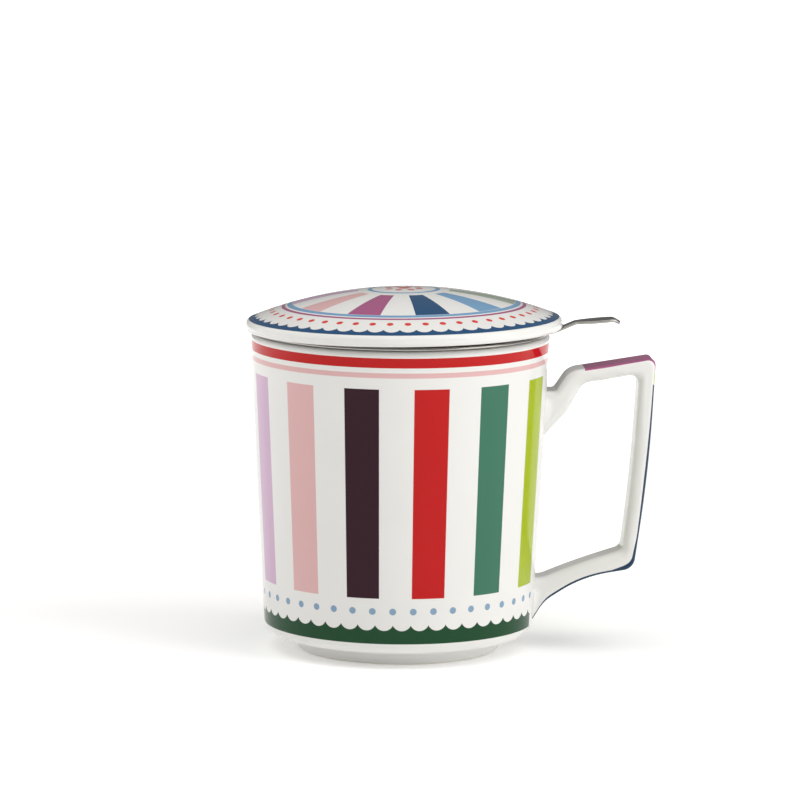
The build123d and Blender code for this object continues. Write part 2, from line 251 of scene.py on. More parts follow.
class Finish(bpy.types.PropertyGroup):
    """Colours of the glaze, the printed paint and the steel."""

    white: colour("Glaze white", "DBDAD7", "Clear glaze over white porcelain")
    bare: colour("Bare clay", "D8D2C6", "Unglazed land under the foot ring")
    lilac: colour("Lilac", "C2A3BC", "Paint of the lilac stripe")
    pink: colour("Pink", "D0A8A7", "Paint of the pink stripe and band")
    plum: colour("Plum", "2A0416", "Paint of the plum stripe")
    red: colour("Red", "B20B0B", "Paint of the red stripe and band")
    green: colour("Green", "376B55", "Paint of the green stripe")
    leaf: colour("Leaf green", "0E4022", "Paint of the scalloped band on the cup")
    lime: colour("Lime", "9AAB06", "Paint of the lime stripe")
    navy: colour("Navy", "264A6E", "Paint of the scalloped band on the lid and of the handle")
    sky: colour("Sky blue", "6F97B8", "Paint of the blue wedges and ring on the lid")
    mauve: colour("Mauve", "9C557B", "Paint of the mauve wedges, ring and handle top")
    sage: colour("Sage", "93A08F", "Paint of the grey-green wedges on the lid")
    dots: colour("Cup dots", "7C97AF", "Paint of the dots on the cup")
    berry: colour("Lid dots", "C8423C", "Paint of the dots on the lid")
    steel: colour("Steel", "A8A5A0", "Polished stainless sheet")


class StageLook(bpy.types.PropertyGroup):
    """Camera and light of the studio."""

    camera_height: length("Camera height", 291.97, "Height of the camera above the floor")
    camera_distance: length("Camera distance", 1500, "Level distance to the cup's axis")
    camera_turn: angle("Camera turn", -3.5, "Turn of the camera round the cup")
    camera_pitch: angle("Camera pitch", 8.389, "Downward tilt of the camera")
    camera_roll: angle("Camera roll", 0.462, "Roll of the camera")
    lens: number("Lens", 240.9, "Focal length in millimetres")
    sensor: number("Sensor", 36, "Width of the camera's sensor in millimetres")
    fill: number("Fill", 0.17, "Strength of the even studio light")
    left_light: number("Left light", 1.05, "Brightness of the left softbox")
    right_light: number("Right light", 2.8, "Brightness of the right softbox")
    top_light: number("Top light", 1.75, "Brightness of the overhead softbox")
    near_glow: number("Near glow", 0.22, "Light that the floor sends up near the cup")
    far_glow: number("Far glow", 0.88, "Light that the sweep sends out far from the cup")
    glow_start: length("Glow start", 280, "Distance at which the sweep begins to brighten")
    glow_end: length("Glow end", 800, "Distance at which the sweep is brightest")
    floor: colour("Floor", "F4F4F3", "Pale studio floor")


class InfusionCup(bpy.types.PropertyGroup):
    """Everything that a user would change."""

    cup: PointerProperty(type=CupShape)
    lid: PointerProperty(type=LidShape)
    infuser: PointerProperty(type=InfuserShape)
    finish: PointerProperty(type=Finish)
    stage: PointerProperty(type=StageLook)


class Graph:
    """A node tree, with short ways to add nodes and sums to it."""

    def __init__(self, tree):
        self.tree = tree

    def feed(self, socket, value):
        """Links a socket, or sets its value."""
        if isinstance(value, bpy.types.NodeSocket):
            self.tree.links.new(value, socket)
        else:
            socket.default_value = value

    def node(self, kind, inputs=None, **settings):
        """Adds a node with its settings and inputs."""
        made = self.tree.nodes.new(kind)
        for name, value in settings.items():
            setattr(made, name, value)
        for key, value in (inputs or {}).items():
            self.feed(made.inputs[key], value)
        return made

    def sum(self, operation, *values, clamp=False):
        """One step of arithmetic."""
        return self.node("ShaderNodeMath", dict(enumerate(values)), operation=operation,
                         use_clamp=clamp).outputs[0]

    def minus(self, a, b):
        """One value less another."""
        return self.sum("SUBTRACT", a, b)

    def times(self, *values):
        """Product of two or more values."""
        total = values[0]
        for value in values[1:]:
            total = self.sum("MULTIPLY", total, value)
        return total

    def hypot(self, a, b):
        """Length of the hypotenuse."""
        return self.sum("SQRT", self.sum("MULTIPLY_ADD", a, a, self.times(b, b)))

    def spread(self, share, low, high):
        """Turns a share from 0 to 1 into a value from low to high."""
        return self.sum("MULTIPLY_ADD", share, high - low, low)

    def fade(self, value, start, end):
        """Goes from 0 at start to 1 at end, and no further."""
        run = end - start
        return self.sum("MULTIPLY_ADD", value, 1 / run, -start / run, clamp=True)

    def above(self, value, limit, soft=SOFT_EDGE):
        """1 where a value in millimetres is over its limit, with a narrow printed edge."""
        return self.sum("MULTIPLY_ADD", self.minus(value, limit), 1 / soft, 0.5, clamp=True)

    def between(self, value, low, high):
        """1 between two heights or radii."""
        return self.times(self.above(value, low), self.above(high, value))

    def vector(self, *parts):
        """A vector from its parts."""
        return self.node("ShaderNodeCombineXYZ", dict(enumerate(parts))).outputs[0]

    def apart(self, vector):
        """The parts of a vector."""
        return self.node("ShaderNodeSeparateXYZ", {0: vector}).outputs

    def polar(self, x, y):
        """Radius, turn in degrees, and the length of one degree of arc at that radius."""
        radius = self.hypot(x, y)
        turn = self.sum("DEGREES", self.sum("ARCTAN2", y, x))
        return radius, turn, self.times(radius, math.pi / 180)

    def steps(self, turn, pitch, first):
        """Counts repeats round the axis. The middle of the first one counts a half."""
        return self.sum("MULTIPLY_ADD", turn, 1 / pitch, 0.5 - first / pitch)

    def aside(self, step, pitch, arc):
        """Distance in millimetres from the middle of a repeat."""
        return self.times(self.minus(self.sum("FRACT", step), 0.5), pitch, arc)

    def stripes(self, step, pitch, half, arc):
        """1 on stripes round the axis, whose half width is in degrees."""
        aside = self.sum("ABSOLUTE", self.aside(step, pitch, arc))
        return self.above(self.times(arc, half), aside)

    def spots(self, turn, along, arc, ring):
        """1 on a ring of round spots."""
        pitch, first, place, radius = ring
        aside = self.aside(self.steps(turn, pitch, first), pitch, arc)
        return self.above(radius, self.hypot(aside, self.minus(along, place)))

    def paint(self, under, mask, over):
        """Lays a colour over another where the mask is 1."""
        under, over = (shade if isinstance(shade, bpy.types.NodeSocket) else (*shade, 1)
                       for shade in (under, over))
        inputs = {0: mask, 6: under, 7: over}
        return self.node("ShaderNodeMix", inputs, data_type="RGBA").outputs[2]

    def swatches(self, step, colours):
        """Picks one of a row of colours by a count of steps."""
        ramp = self.node("ShaderNodeValToRGB", {0: self.sum("DIVIDE", step, len(colours))})
        ramp.color_ramp.interpolation = "CONSTANT"
        stops = ramp.color_ramp.elements
        while len(stops) < len(colours):
            stops.new(1)
        for place, shade in enumerate(colours):
            stops[place].position = place / len(colours)
            stops[place].color = (*shade, 1)
        return ramp.outputs[0]

    def millimetres(self, location=(0, 0, 0), rotation=(0, 0, 0)):
        """Object coordinates in millimetres, in a piece's own frame."""
        own = self.node("ShaderNodeMapping", {
            "Vector": self.node("ShaderNodeTexCoord").outputs["Object"], "Location": location,
            "Rotation": rotation, "Scale": (PER_METRE, PER_METRE, PER_METRE)}).outputs[0]
        return (own, *self.apart(own))

    def noise(self, place, scale, detail, roughness=0.5):
        """Even grey noise."""
        return self.node("ShaderNodeTexNoise", {
            "Vector": place, "Scale": scale, "Detail": detail, "Roughness": roughness}).outputs[0]

    def surface(self, inputs):
        """Ends a material in one shader."""
        shader = self.node("ShaderNodeBsdfPrincipled", inputs)
        self.node("ShaderNodeOutputMaterial", {0: shader.outputs[0]})

    def shape(self, kind, inputs, **settings):
        """One step of a geometry tree."""
        return self.node("GeometryNode" + kind, inputs, **settings).outputs[0]

    def join(self, *parts):
        """One geometry from several."""
        joined = self.node("GeometryNodeJoinGeometry")
        for part in parts:
            self.tree.links.new(part, joined.inputs[0])
        return joined.outputs[0]


def start_material(name):
    """An empty node material."""
    material = bpy.data.materials.new(name)
    material.use_nodes = True
    material.node_tree.nodes.clear()
    return material, Graph(material.node_tree)


def glaze(graph, place, shade, matt=None):
    """Glossy fired glaze: slight pooling, uneven gloss and a gently wavy surface."""
    pool = graph.spread(graph.noise(place, scale=0.05, detail=3), low=0.972, high=1.022)
    grey = graph.node("ShaderNodeCombineColor", {0: pool, 1: pool, 2: pool}).outputs[0]
    tint = graph.node("ShaderNodeMix", {0: 1.0, 6: shade, 7: grey},
                      data_type="RGBA", blend_type="MULTIPLY").outputs[2]
    gloss = graph.spread(graph.noise(place, scale=0.35, detail=2), low=0.045, high=0.095)
    if matt is not None:
        gloss = graph.sum("MULTIPLY_ADD", matt, WIPED_ROUGHNESS, gloss)
    wave = graph.node("ShaderNodeBump", {
        "Height": graph.noise(place, scale=0.09, detail=1), "Strength": 0.05, "Distance": 0.0006})
    graph.surface({"Base Color": tint, "Roughness": gloss, "IOR": 1.5, "Specular IOR Level": 0.2,
                   "Normal": wave.outputs[0]})


def cup_material(finish):
    """White glaze with the cup's bands, stripes, dots and scallops, printed round the outside."""
    material, graph = start_material("painted_cup_glaze")
    place, x, y, z = graph.millimetres()
    radius, turn, arc = graph.polar(x, y)
    around = graph.sum("WRAP", turn, 360.0, 0.0)
    from_handle = graph.times(graph.sum("ABSOLUTE", turn), arc)
    outside = graph.above(radius, graph.sum("MULTIPLY_ADD", z, SKIN_SLOPE, SKIN_FOOT))

    # Twelve stripes, with a wider space left at the handle
    step = graph.steps(around, STRIPE_PITCH, STRIPE_FIRST)
    shades = graph.swatches(step, [getattr(finish, name) for name in STRIPES])
    stripe = graph.times(graph.stripes(step, STRIPE_PITCH, STRIPE_HALF, arc),
                         graph.between(z, STRIPE_FOOT, STRIPE_TOP),
                         graph.between(step, 0, len(STRIPES)))
    shade = graph.paint(finish.white, stripe, shades)

    # Bands under the lip
    clear = graph.above(from_handle, BAND_GAP)
    for low, high, name in LIP_BANDS:
        band = graph.times(graph.between(z, low, high), clear)
        shade = graph.paint(shade, band, getattr(finish, name))

    # Row of dots
    clear = graph.above(from_handle, DOT_GAP)
    dots = graph.times(graph.spots(around, z, arc, CUP_DOTS), clear)
    shade = graph.paint(shade, dots, finish.dots)

    # Scalloped band over the shoulder
    left = graph.minus(1.0, graph.spots(around, z, arc, CUP_SCALLOPS))
    clear = graph.above(from_handle, LEAF_GAP)
    band = graph.times(left, graph.between(z, LEAF_FOOT, LEAF_TOP), clear)
    shade = graph.paint(shade, band, finish.leaf)

    # Glaze wiped off the land of the foot ring
    bare = graph.minus(1.0, graph.above(z, WIPED_HEIGHT, WIPED_EDGE))
    shade = graph.paint(finish.white, outside, shade)
    glaze(graph, place, graph.paint(shade, bare, finish.bare), bare)
    return material


def handle_material(finish):
    """White glaze with the strap's outer face painted mauve, lime and navy in turn; the navy is
    darkened as painted shade.
    """
    material, graph = start_material("painted_handle_glaze")
    place, x, _, z = graph.millimetres()
    across = graph.node("ShaderNodeAttribute", attribute_name="across").outputs["Fac"]
    heel = graph.times(graph.fade(z, HEEL_TOP, HEEL_FOOT), graph.fade(x, HEEL_IN, HEEL_OUT))
    limit = graph.spread(graph.sum("LESS_THAN", z, LIME_FOOT), PAINT_REACH, NAVY_REACH)
    limit = graph.sum("MULTIPLY_ADD", heel, HEEL_REACH, limit)
    start = graph.times(graph.sum("GREATER_THAN", z, ARM_SPLIT), PAINT_START)
    face = graph.times(graph.above(limit, across), graph.above(x, start))
    # Painted shade: the handle's navy is darkened to half, standing in for shade on the strap's
    # outer face
    deep = [NAVY_PAINTED_SHADE * part for part in finish.navy]
    shade = graph.paint(deep, graph.above(z, LIME_FOOT), finish.lime)
    shade = graph.paint(shade, graph.above(z, MAUVE_FOOT), finish.mauve)
    glaze(graph, place, graph.paint(finish.white, face, shade))
    return material


def lid_pose(lid):
    """Where the lid lies, with its axis square to the plane that it rests in."""
    out = Vector((1, 0, lid.side_slope)).normalized()
    up = Vector((-lid.side_slope, lid.front_slope, 1)).normalized()
    turn = Matrix((out, up.cross(out), up)).transposed().to_4x4()
    return Matrix.Translation((lid.shift, 0, lid.floor)) @ turn


def lid_material(finish, lid):
    """White glaze with rings, scallops, dots and wedges round the dome."""
    material, graph = start_material("painted_lid_glaze")
    back = lid_pose(lid).inverted()
    place, x, y, z = graph.millimetres(tuple(back.translation * PER_METRE),
                                       tuple(back.to_euler("XYZ")))
    radius, turn, arc = graph.polar(x, y)
    crown = graph.sum("MULTIPLY_ADD", graph.times(radius, radius), -1 / CROWN_SPREAD, CROWN_TOP)
    top = graph.above(z, crown)

    # Ten wedges between the middle rings and the outer ones
    step = graph.steps(turn, WEDGE_PITCH, WEDGE_FIRST)
    step = graph.sum("WRAP", step, len(WEDGES), 0.0)
    shades = graph.swatches(step, [getattr(finish, name) for name in WEDGES])
    wedge = graph.times(graph.stripes(step, WEDGE_PITCH, WEDGE_HALF, arc),
                        graph.between(radius, WEDGE_IN, WEDGE_OUT))
    shade = graph.paint(finish.white, wedge, shades)

    # Rings, a plain rosette of dots in the middle and a ring of dots
    for low, high, name in LID_RINGS:
        shade = graph.paint(shade, graph.between(radius, low, high), getattr(finish, name))
    for dots in (graph.spots(turn, radius, arc, LID_PETALS), graph.above(EYE_RADIUS, radius),
                 graph.spots(turn, radius, arc, LID_DOTS)):
        shade = graph.paint(shade, dots, finish.berry)

    # Scalloped band next to the rim
    left = graph.minus(1.0, graph.spots(turn, radius, arc, LID_SCALLOPS))
    band = graph.times(left, graph.between(radius, NAVY_IN, NAVY_OUT))
    shade = graph.paint(shade, band, finish.navy)
    glaze(graph, place, graph.paint(finish.white, top, shade))
    return material


def steel_material(name, finish, rub):
    """Stainless sheet with fine drawn lines. rub gives their scale round, up and outwards."""
    material, graph = start_material(name)
    place, x, y, z = graph.millimetres()
    ways = (graph.sum("ARCTAN2", y, x), z, graph.hypot(x, y))
    drawn = graph.vector(*(graph.times(way, scale) for way, scale in zip(ways, rub)))
    lines = graph.noise(drawn, scale=1.0, detail=4, roughness=0.6)
    smear = graph.noise(place, scale=0.06, detail=3)
    shade = graph.paint([LINE_SHADE * part for part in finish.steel], lines, finish.steel)
    gloss = graph.sum("MULTIPLY_ADD", smear, SMEAR, graph.spread(lines, low=0.10, high=0.18))
    relief = graph.node("ShaderNodeBump", {"Height": lines, "Strength": 0.06, "Distance": 0.0001})
    graph.surface({"Base Color": shade, "Metallic": 1.0, "Roughness": gloss, "Anisotropic": 0.4,
                   "Normal": relief.outputs[0]})
    return material


def rounded(before, point, after, radius, steps):
    """Points of the arc that rounds one corner of a flat path."""
    back, ahead = (before - point).normalized(), (after - point).normalized()
    if radius <= 0 or abs(back.cross(ahead)) < LEAST:
        return [point] * steps
    half = math.acos(max(-1, min(1, back.dot(ahead)))) / 2
    centre = point + (back + ahead).normalized() * (radius / math.sin(half))
    start, end = (point + way * (radius / math.tan(half)) - centre for way in (back, ahead))
    sweep = math.pi - 2 * half
    points = []
    for step in range(steps):
        share = step / (steps - 1)
        reach = start * math.sin((1 - share) * sweep) + end * math.sin(share * sweep)
        points.append(centre + reach / math.sin(sweep))
    return points


def path(corners, arc_steps, run=2.5 * MM, runs=None):
    """A flat path through corners, each with its rounding. Straight runs are divided by length,
    or into the counts in runs."""
    points = [Vector(corner[:2]) for corner in corners]
    made = points[:1]
    for place in range(1, len(points)):
        bend = points[place:]
        if len(bend) > 1:
            bend = rounded(points[place - 1], *bend[:2], corners[place][2], arc_steps)
        start = made[-1]
        parts = runs[place - 1] if runs else max(1, math.ceil((bend[0] - start).length / run))
        made += [start.lerp(bend[0], step / parts) for step in range(1, parts)] + bend
    return made


def bow(middle, radius, start, end, steps):
    """Points of an arc from one angle to another, without the last."""
    turns = (start + (end - start) * step / steps for step in range(steps))
    return [Vector(middle) + Vector((math.cos(turn), math.sin(turn))) * radius for turn in turns]


def cap_radius(reach, rise):
    """Radius of the ball that a shallow cap is cut from."""
    return (reach**2 + rise**2) / (2 * rise)


def lathe(profile, segments, closed=False):
    """Turns a profile of radius and height round the upright axis."""
    shell = bmesh.new()
    turns = [2 * math.pi * step / segments for step in range(segments)]
    rings = []
    for radius, height in profile:
        if radius < LEAST:
            rings.append([shell.verts.new((0, 0, height))] * segments)
        else:
            spots = [(radius * math.cos(turn), radius * math.sin(turn), height) for turn in turns]
            rings.append([shell.verts.new(spot) for spot in spots])
    for low, high in zip(rings, rings[1:] + (rings[:1] if closed else [])):
        for step in range(segments):
            ahead = (step + 1) % segments
            loop = [low[step], low[ahead], high[ahead], high[step]]
            loop = [vert for place, vert in enumerate(loop) if vert not in loop[:place]]
            shell.faces.new(loop)
    bmesh.ops.recalc_face_normals(shell, faces=shell.faces)
    return shell


def turned_ring(points, edges, segments, arc_steps, run=1.5 * MM):
    """Turns a closed section into a ring. edges are the roundings after its first point."""
    edges = [edge * MM for edge in (0, *edges, 0)]
    corners = [(*point, edge) for point, edge in zip([*points, points[0]], edges)]
    return lathe(path(corners, arc_steps, run)[:-1], segments, closed=True)


def strip(half, depth, edge, inner_edge, arc_steps, runs):
    """Half the section of a rounded strip, from the middle of its face round to its back."""
    corners = [(0, 0, 0), (half, 0, edge), (half, depth, inner_edge), (0, depth, 0)]
    return path(corners, arc_steps, runs=runs)


def mirrored(section):
    """Both halves of a strip's section."""
    return [*section, *(Vector((-side, deep)) for side, deep in section[-2:0:-1])]


def tube(loops):
    """Joins a row of closed loops of points into a capped skin."""
    skin = bmesh.new()
    rings = [[skin.verts.new(point) for point in loop] for loop in loops]
    for low, high in zip(rings, rings[1:]):
        for step in range(len(low)):
            ahead = (step + 1) % len(low)
            skin.faces.new((low[step], low[ahead], high[ahead], high[step]))
    skin.faces.new(rings[0])
    skin.faces.new(rings[-1])
    bmesh.ops.recalc_face_normals(skin, faces=skin.faces)
    return skin


def as_mesh(name, shell):
    """A mesh from a finished bmesh."""
    mesh = bpy.data.meshes.new(name)
    shell.to_mesh(mesh)
    shell.free()
    return mesh


def placed(name, mesh):
    """An object in the scene."""
    made = bpy.data.objects.new(name, mesh)
    bpy.context.scene.collection.objects.link(made)
    return made


def piece(name, shape, material, sharp=35):
    """A smooth-shaded object from a finished bmesh or mesh."""
    mesh = as_mesh(name, shape) if isinstance(shape, bmesh.types.BMesh) else shape
    mesh.name = name
    mesh.materials.clear()
    mesh.materials.append(material)
    mesh.shade_smooth()
    mesh.set_sharp_from_angle(angle=math.radians(sharp))
    return placed(name, mesh)


def settle(made, body, slot, *nodes):
    """Seats a finished piece on its body in place of the solids that it stands for."""
    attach(made, body)
    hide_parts(*nodes)


def evaluated(name, tree, values):
    """Plain mesh that a geometry tree makes from its named inputs."""
    holder = placed(name, bpy.data.meshes.new(name))
    modifier = holder.modifiers.new(name, "NODES")
    modifier.node_group = tree
    for socket in tree.interface.items_tree:
        if socket.in_out == "INPUT" and socket.name in values:
            modifier[socket.identifier] = values[socket.name]
    holder.update_tag()
    bpy.context.view_layer.update()
    depsgraph = bpy.context.evaluated_depsgraph_get()
    mesh = bpy.data.meshes.new_from_object(holder.evaluated_get(depsgraph), depsgraph=depsgraph)
    holder.modifiers.clear()
    bpy.data.objects.remove(holder)
    if not mesh.polygons:
        raise RuntimeError(name + " has no faces")
    return mesh


def geometry_tree(name, inputs):
    """An empty geometry tree with named inputs."""
    tree = bpy.data.node_groups.new(name, "GeometryNodeTree")
    tree.interface.new_socket("Geometry", in_out="OUTPUT", socket_type="NodeSocketGeometry")
    for kind, labels in inputs.items():
        for label in labels:
            tree.interface.new_socket(label, in_out="INPUT", socket_type="NodeSocket" + kind)
    graph = Graph(tree)
    return tree, graph, graph.node("NodeGroupInput").outputs


def tile(hole, wall):
    """One cell of the pierced sheet, a unit square: with a round hole, or plain with one edge."""
    cell = bmesh.new()
    side = [(0.5, step / SIDE_STEPS - 0.5) for step in range(SIDE_STEPS)]
    rim = []
    for _ in range(4):
        rim += side
        side = [(-v, u) for u, v in side]
    rim_count = len(rim)
    top, low = ([cell.verts.new((u, v, level)) for u, v in rim] for level in (1, 0))
    if hole:
        turns = [math.radians(360 * step / rim_count - 45) for step in range(rim_count)]
        bore = [(hole[0] * math.cos(turn), hole[1] * math.sin(turn)) for turn in turns]
        high_edge, low_edge = ([cell.verts.new((u, v, level)) for u, v in bore] for level in (1, 0))
        for step in range(rim_count):
            ahead = (step + 1) % rim_count
            cell.faces.new((high_edge[step], top[step], top[ahead], high_edge[ahead]))
            cell.faces.new((low_edge[ahead], low[ahead], low[step], low_edge[step]))
            cell.faces.new((high_edge[step], high_edge[ahead], low_edge[ahead], low_edge[step]))
    else:
        cell.faces.new(top)
        cell.faces.new(low[::-1])
    if wall:
        for step in range(rim_count - SIDE_STEPS, rim_count):
            ahead = (step + 1) % rim_count
            cell.faces.new((top[step], low[step], low[ahead], top[ahead]))
    return placed("sheet_tile", as_mesh("sheet_tile", cell))


def pierced_wall_tree():
    """Rows of pierced tiles with a plain margin above and below, rolled into a cone."""
    tree, graph, given = geometry_tree("pierced_wall", {
        "Int": ("Columns", "Rows"),
        "Float": ("Row Height", "Low Margin", "High Margin", "Bottom", "Bottom Radius", "Taper",
                  "Sheet"),
        "Object": ("Pierced Tile", "Edge Tile"), "Material": ("Material",)})
    columns, rows, row_height = given["Columns"], given["Rows"], given["Row Height"]
    pierced, plain = (
        graph.node("GeometryNodeObjectInfo", {"Object": given[name]}).outputs["Geometry"]
        for name in ("Pierced Tile", "Edge Tile"))
    index = graph.node("GeometryNodeInputIndex").outputs[0]

    # Staggered rows of pierced tiles
    column = graph.sum("FLOOR", graph.sum("DIVIDE", index, rows))
    row = graph.minus(index, graph.times(column, rows))
    stagger = graph.times(graph.sum("MODULO", row, 2.0), 0.5)
    spot = graph.vector(graph.sum("ADD", column, stagger), row)
    field = graph.shape("Points", {"Count": graph.times(columns, rows), "Position": spot})
    sheet = graph.shape("InstanceOnPoints", {"Points": field, "Instance": pierced})

    # A plain row below and another, turned about, above
    margins = []
    for name, start, way, spin in (("Low Margin", -0.5, -0.5, 0.0),
                                   ("High Margin", graph.minus(rows, 0.5), 0.5, math.pi)):
        depth = graph.sum("DIVIDE", given[name], row_height)
        level = graph.sum("MULTIPLY_ADD", depth, way, start)
        line = graph.shape("Points", {"Count": columns, "Position": graph.vector(index, level)})
        margins.append(graph.shape("InstanceOnPoints", {
            "Points": line, "Instance": plain, "Scale": graph.vector(1.0, depth, 1.0),
            "Rotation": (0.0, 0.0, spin)}))
    flat = graph.shape("RealizeInstances", {0: graph.join(*reversed(margins), sheet)})

    # The flat sheet rolled up, wider towards its top
    u, v, w = graph.apart(graph.node("GeometryNodeInputPosition").outputs[0])
    rise = graph.sum("MULTIPLY_ADD", graph.sum("ADD", v, 0.5), row_height, given["Low Margin"])
    radius = graph.sum("MULTIPLY_ADD", rise, given["Taper"], given["Bottom Radius"])
    radius = graph.sum("MULTIPLY_ADD", graph.minus(w, 1.0), given["Sheet"], radius)
    turn = graph.sum("DIVIDE", graph.times(u, 2 * math.pi), columns)
    rolled = graph.vector(graph.times(radius, graph.sum("COSINE", turn)),
                          graph.times(radius, graph.sum("SINE", turn)),
                          graph.sum("ADD", rise, given["Bottom"]))
    cone = graph.shape("SetPosition", {"Geometry": flat, "Position": rolled})
    cone = graph.shape("MergeByDistance", {"Geometry": cone, "Distance": 0.01 * MM})
    cone = graph.shape("SetMaterial", {"Geometry": cone, "Material": given["Material"]})
    graph.node("NodeGroupOutput", {0: cone})
    return tree


def pierced_base_tree():
    """A flat disc with staggered rows of round holes, filled between its curves and thickened.
    The curves are drawn in millimetres, because very small ones fill badly."""
    tree, graph, given = geometry_tree("pierced_base", {
        "Float": ("Radius", "Pitch", "Hole Diameter", "Margin", "Bottom", "Sheet"),
        "Int": ("Count",), "Material": ("Material",)})
    rows, pitch = given["Count"], given["Pitch"]
    index = graph.node("GeometryNodeInputIndex").outputs[0]
    row = graph.sum("FLOOR", graph.sum("DIVIDE", index, rows))
    column = graph.minus(index, graph.times(row, rows))
    middle = graph.times(graph.minus(rows, 1.0), 0.5)
    stagger = graph.times(graph.sum("MODULO", row, 2.0), 0.5)
    across = graph.minus(graph.sum("ADD", column, stagger), middle)
    across = graph.times(across, pitch, PER_METRE)
    along = graph.times(graph.minus(row, middle), pitch, PER_METRE * ROW_SHARE)
    field = graph.shape("Points", {"Count": graph.times(rows, rows),
                                   "Position": graph.vector(across, along)})
    x, y, _ = graph.apart(graph.node("GeometryNodeInputPosition").outputs[0])
    limit = graph.times(graph.minus(given["Radius"], given["Margin"]), PER_METRE)
    within = graph.sum("LESS_THAN", graph.hypot(x, y), limit)
    bore, edge = (
        graph.shape("CurvePrimitiveCircle", {"Resolution": steps,
                                             "Radius": graph.times(given[name], scale)})
        for steps, name, scale in ((HOLE_SEGMENTS, "Hole Diameter", PER_METRE / 2),
                                   (BASE_SEGMENTS, "Radius", PER_METRE)))
    holes = graph.shape("InstanceOnPoints", {
        "Points": field, "Selection": within, "Instance": bore})
    curves = graph.shape("RealizeInstances", {0: graph.join(holes, edge)})
    disc = graph.shape("FillCurve", {"Curve": curves})
    sheet = graph.times(given["Sheet"], PER_METRE)
    raised = graph.shape("ExtrudeMesh", {"Mesh": disc, "Offset Scale": sheet, "Individual": False})
    solid = graph.join(graph.shape("FlipFaces", {0: disc}), raised)
    solid = graph.shape("MergeByDistance", {"Geometry": solid, "Distance": 0.001})
    solid = graph.shape("Transform", {
        "Geometry": solid, "Translation": graph.vector(0.0, 0.0, given["Bottom"]),
        "Scale": (MM, MM, MM)})
    solid = graph.shape("SetMaterial", {"Geometry": solid, "Material": given["Material"]})
    graph.node("NodeGroupOutput", {0: solid})
    return tree


def cup_wall_radius(cup, height):
    """Outer radius of the tapered wall at a height."""
    share = (height - cup.shoulder_height) / (CUP_TOP - cup.shoulder_height)
    return cup.base_radius + (cup.rim_radius - cup.base_radius) * share


def basket_taper(infuser):
    """Widening of the basket's wall for its height."""
    spread = infuser.wall_top_radius - infuser.basket_radius
    return spread / (infuser.wall_top - infuser.basket_bottom)


class INFUSIONCUP_OT_body(bpy.types.Operator):
    """Turns the mug's body and prints its bands, stripes, dots and scallops"""

    bl_idname = "infusion_cup.body"
    bl_label = "Cup body"

    def execute(self, context):
        cup = context.scene.infusion_cup.cup
        foot, floor = cup.foot_radius, cup.floor_height
        land = foot - cup.foot_width
        corners = [
            (0, cup.foot_recess, 0),
            (land - cup.foot_slant, cup.foot_recess, cup.foot_rounding),
            (land, 0, cup.foot_rounding),
            (foot, 0, cup.foot_edge),
            (foot + cup.foot_flare, cup.foot_height, cup.foot_cove),
            (cup.base_radius, cup.shoulder_height, cup.shoulder_rounding),
            (cup.rim_radius, CUP_TOP, cup.lip_rounding),
            (cup.rim_radius - cup.lip_wall, CUP_TOP, cup.lip_rounding),
            (cup_wall_radius(cup, floor) - cup.base_wall, floor, cup.bowl_rounding),
            (0, floor, 0)]
        shell = lathe(path(corners, arc_steps=14), cup.segments)
        material = cup_material(context.scene.infusion_cup.finish)
        made = piece("glazed_body", shell, material, sharp=60)
        settle(made, "cup", "porcelain", "cup_body")
        return {"FINISHED"}


class INFUSIONCUP_OT_handle(bpy.types.Operator):
    """Sweeps the strap handle between its two lines and flares its roots into the wall"""

    bl_idname = "infusion_cup.handle"
    bl_label = "Cup handle"

    def execute(self, context):
        cup = context.scene.infusion_cup.cup
        lines = [path([[part * MM for part in corner] for corner in line], arc_steps=9,
                      runs=HANDLE_RUNS) for line in (HANDLE_OUTER, HANDLE_INNER)]
        half, edge = cup.handle_width / 2, cup.handle_edge
        loops, marks = [], []
        for out, inn in zip(*lines):
            depth = (inn - out).length
            along = (inn - out) / depth
            inner_edge = min(cup.handle_inner_edge, depth - edge - STRAP_FLAT)
            section = strip(half, depth, edge, inner_edge, arc_steps=7, runs=(4, 8, 4))
            travel = [0.0]
            for before, after in zip(section, section[1:]):
                travel.append(travel[-1] + (after - before).length)
            marks += [mark / MM for mark in travel + travel[-2:0:-1]]
            loop = []
            for side, deep in mirrored(section):
                spot = out + along * deep
                share = (deep - edge) / (depth - edge - inner_edge)
                flare = self.flare(cup, spot, side) * math.sin(math.pi * min(max(share, 0), 1))
                loop.append((spot.x, side * (half + flare) / half, spot.y))
            loops.append(loop)
        material = handle_material(context.scene.infusion_cup.finish)
        made = piece("glazed_handle", tube(loops), material, sharp=60)
        across = made.data.attributes.new("across", "FLOAT", "POINT")
        across.data.foreach_set("value", marks)
        settle(made, "cup", "porcelain", "cup_handle")
        return {"FINISHED"}

    def flare(self, cup, spot, side):
        """How much the strap widens near the wall, along a quarter circle."""
        gap = math.hypot(spot.x, side) - cup_wall_radius(cup, spot.y)
        near = min(max(cup.root_flare - gap, 0), cup.root_flare)
        return cup.root_flare - math.sqrt(cup.root_flare**2 - near**2)


